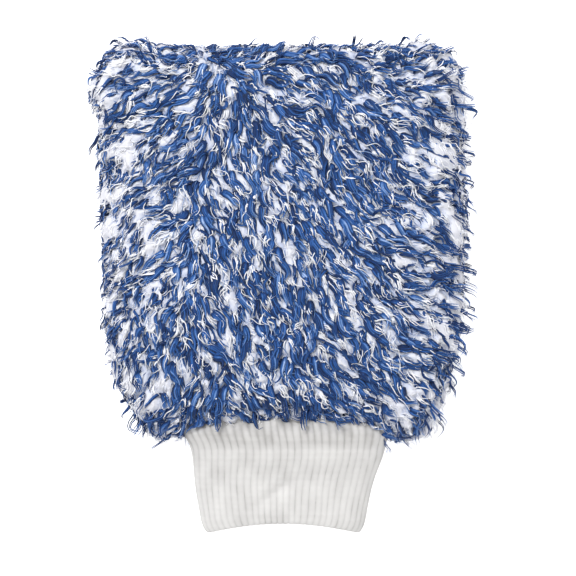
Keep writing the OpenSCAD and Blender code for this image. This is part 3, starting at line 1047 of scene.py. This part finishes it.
def cuff_folds(x, s):
    """How far the knit stands out at x across and s from its sewn end: it puffs up under the hem, unevenly,
    has a soft crease where it turns down onto the table, and a slanting dent low in its middle."""
    spots = np.stack([x, np.full_like(x, s), np.zeros_like(x)], axis=1)
    uneven = lattice_noise(spots, 13 * MM, SEED + 5)
    crease = 14.5 * MM + 2.5 * MM * lattice_noise(spots, 24 * MM, SEED + 6)
    puff = (1.7 + 0.9 * uneven) * hill(s, 6 * MM, 5.5 * MM)
    over, down = x - DENT_AT[0], s - DENT_AT[1]
    dent = 2.6 * hill(over + down, 0, 6.5 * MM) * hill(over - down, 0, 18 * MM)
    return (puff - dent - 0.7 * hill(s, crease, 3.2 * MM) + 0.3 * uneven) * MM


def fold_rows(top, gap, count, back_count):
    """Rows (s, inset) down one side of the fold, round it and back up, gap apart about the wall's middle."""
    straight = CUFF_LENGTH - CUFF_WALL / 2
    near, radius = (CUFF_WALL - gap) / 2, gap / 2
    bend = np.linspace(0, math.pi, 8)[1:-1]
    rows = [(s, near) for s in np.linspace(top, straight, count)]
    rows += [(straight + radius * math.sin(a), near + radius * (1 - math.cos(a))) for a in bend]
    return rows + [(s, near + gap) for s in np.linspace(straight, 0, back_count)]


def cuff_mesh():
    """The knit, folded double at the wrist edge: one closed skin round both layers and between them."""
    seen = fold_rows(-TUCK, CUFF_WALL, 70, 30)
    hidden = fold_rows(-TUCK, LAYER_GAP, 22, 20)[::-1]
    rows = seen + hidden
    columns = RIBS * RIB_POINTS
    phase = np.arange(columns) / RIB_POINTS
    points, shades = [], []
    for s, inset in rows:
        middle = abs(inset - CUFF_WALL / 2) < LAYER_GAP
        x, z, out = cuff_section(SEWN_Y - s, inset)
        place = np.stack([x, np.full(columns, s / 2), z], axis=1)
        wander = phase + 0.16 * lattice_noise(place, 9 * MM, SEED + 13)
        ridge = np.abs(np.sin(math.pi * wander)) ** 0.42
        depth = RIB_RELIEF * (0.8 + 0.45 * lattice_noise(place, 12 * MM, SEED + 14))
        seat = 0.0 if middle else 1.0 if inset < CUFF_WALL / 2 else -1.0
        shift = seat * depth * (ridge - 1) + cuff_folds(x, s) * np.abs(out[:, 1])
        share = np.clip(np.abs(x) / cuff_at(SEWN_Y - s, 1), 0, 1)
        short = EDGE_ARCH * (1 - share**2) * ease((s / CUFF_LENGTH - 0.3) / 0.7)
        at_edge = ease((s - CUFF_LENGTH + EDGE_ROUND) / EDGE_ROUND)
        moved_x = (x + out[:, 0] * shift) * (1 - 0.35 * EDGE_ROUND / CUFF_HIGH.x * at_edge)
        moved_x += SWAY * hill(s, 17 * MM, 14 * MM)
        moved_y = SEWN_Y - s + short - 0.45 * MM * ridge * at_edge
        points.append(np.stack([moved_x, moved_y, z + out[:, 1] * shift], axis=1))
        # painted shade: darker where the knit runs in under the hem and in a soft band along the crease
        painted_hem_and_crease_shade = 0.45 * (1 - ease((s - 5 * MM) / (13 * MM))) + 0.1 * hill(s, 14 * MM, 3 * MM)
        # painted shade: 0.72 * ridge darkens the grooves between the ribs; the lattice noise is the knit's
        # own mottle
        shades.append(0.72 * ridge + 0.1 + 0.25 * lattice_noise(place, 5 * MM, SEED + 15) - painted_hem_and_crease_shade)
    points = np.concatenate(points)
    points[:, 2] = np.maximum(points[:, 2], FLOOR_GAP)
    faces = grid_faces(len(rows), columns, True)
    k = np.arange(columns)
    last = (len(rows) - 1) * columns
    closing = np.stack([last + k, last + (k + 1) % columns, (k + 1) % columns, k], axis=1)
    mesh = mesh_of("rib_cuff_knit", points, [faces, closing])
    set_shade(mesh, "rib_shade_and_mottle", np.clip(np.concatenate(shades), 0, 1))
    return mesh


def make_cuff():
    mesh = cuff_mesh()
    piece = object_of("rib_cuff_knit", mesh)
    shades = [(0.0, (0.40, 0.39, 0.38)), (0.45, (0.58, 0.57, 0.56)), (1.0, (0.69, 0.68, 0.668))]
    mesh.materials.append(knit_material("rib_knit", shades, 1.1 * MM, "rib_shade_and_mottle"))
    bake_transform(piece)
    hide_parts("rib_cuff")


# ---------- the lining ----------

LINING_CLOTH = 0.8 * MM
LINING_CORNER = 17 * MM
LINING_EDGE = 11 * MM


def bag_half(name, low, high, upward):
    """Half of a flat bag, from its mouth to its closed end, with a rounded edge along the side seams."""
    near, far = SEWN_Y + 1.0 * MM, high.y
    rows, columns = 64, 72
    mouth_w, mouth_h = CUFF_HIGH.x - 1.5 * MM, 9.0 * MM
    height = (high.z - SEAM_Z) if upward else (SEAM_Z - low.z)
    points = []
    for t in np.linspace(0, 1, rows):
        y = near + (far - near) * t
        opened = float(ease((y - near) / (12 * MM)))
        end = max(0.0, (y - (far - LINING_CORNER)) / LINING_CORNER)
        half = mouth_w + (high.x - mouth_w) * opened - LINING_CORNER * (1 - math.sqrt(1 - min(end, 1) ** 2))
        last = max(0.0, (y - (far - LINING_EDGE)) / LINING_EDGE)
        tall = (mouth_h + (height - mouth_h) * opened) * math.sqrt(1 - min(last, 1) ** 2)
        u = np.linspace(-1, 1, columns)
        x = half * np.sin(u * math.pi / 2)
        inner = np.clip((np.abs(x) - (half - LINING_EDGE)) / LINING_EDGE, 0, 1)
        points.append(np.stack([x, np.full(columns, y), tall * np.sqrt(1 - inner**2)], axis=1))
    points = np.concatenate(points)
    points[:, 2] -= 0.5 * MM * (1 + lattice_noise(points, 16 * MM, SEED + 6)) * (points[:, 2] > 2 * MM)
    faces = grid_faces(rows, columns, False)
    points[:, 2] = SEAM_Z + points[:, 2] * (1 if upward else -1)
    mesh = mesh_of(name, points, [faces if upward else faces[:, ::-1]])
    piece = object_of(name, mesh)
    thicken = piece.modifiers.new("cloth", "SOLIDIFY")
    thicken.thickness = LINING_CLOTH
    thicken.offset = -1
    baked(piece)
    smooth_shaded(piece.data)
    return piece


def make_lining():
    shades = [(0.0, (0.66, 0.66, 0.67)), (1.0, (0.84, 0.84, 0.84))]
    mat = knit_material("lining_tricot", shades, 0.6 * MM)
    for name, node, low, high, upward in (
        ("front_lining_cloth", "front_lining", LINING_LOW, LINING_HIGH, True),
        ("rear_lining_cloth", "rear_lining", REAR_LINING_LOW, REAR_LINING_HIGH, False),
    ):
        piece = bag_half(name, low, high, upward)
        settle(piece, node, mat)


def dress_cad_nodes():
    """The ground cloths and threads keep their CAD shapes, and get cloth and thread materials."""
    ground = knit_material("ground_knit", [(0.0, (0.52, 0.53, 0.58)), (1.0, (0.74, 0.75, 0.79))], 1.2 * MM)
    thread = thread_material()
    for name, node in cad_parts.items():
        if name.endswith("ground_cloth"):
            node.data.materials.clear()
            node.data.materials.append(ground)
        elif name.endswith("thread"):
            node.data.materials.clear()
            node.data.materials.append(thread)


# ---------- studio ----------


def make_studio():
    """A pale floor, a soft key from the upper left, a weaker fill, and a sky bright at its horizon."""
    bpy.ops.mesh.primitive_plane_add(size=6)
    floor = bpy.context.object
    floor.name = "floor"
    floor.data.materials.append(floor_material())
    world = bpy.data.worlds.new("studio")
    world.use_nodes = True
    tree = world.node_tree
    height = add(tree, "SeparateXYZ", {"Vector": add(tree, "TexCoord", {})["Generated"]})["Z"]
    sky = ramp_of(tree, height, [(0.0, (1, 1, 1)), (0.12, (1, 1, 1)), (0.35, (0.25, 0.25, 0.25))])
    fill(tree, tree.nodes["Background"], {"Color": sky})
    bpy.context.scene.world = world
    for name, place, size, power in (
        ("key", (-0.25, 0.37, 1.1), 0.35, 13.4),
        ("fill", (0.7, -0.6, 1.2), 1.2, 5.8),
    ):
        light = bpy.data.lights.new(name, "AREA")
        light.size = size
        light.energy = power
        lamp = bpy.data.objects.new(name, light)
        lamp.location = place
        lamp.rotation_euler = (Vector((0, 0, 0.03)) - Vector(place)).to_track_quat("-Z", "Y").to_euler()
        bpy.context.scene.collection.objects.link(lamp)


def make_camera():
    """Straight above the mitt, a little off its centre, with a long lens."""
    view_width, aim = 0.3168, Vector((0.0027, -0.0014, SEAM_Z))
    data = bpy.data.cameras.new("camera")
    data.lens, data.sensor_width = 135, 36
    camera = bpy.data.objects.new("camera", data)
    camera.location = aim + Vector((0, 0, view_width * data.lens / data.sensor_width))
    bpy.context.scene.collection.objects.link(camera)
    bpy.context.scene.camera = camera
    bpy.context.scene.view_settings.view_transform = "Standard"


make_camera()
make_studio()
make_pile()
make_cuff()
make_lining()
dress_cad_nodes()
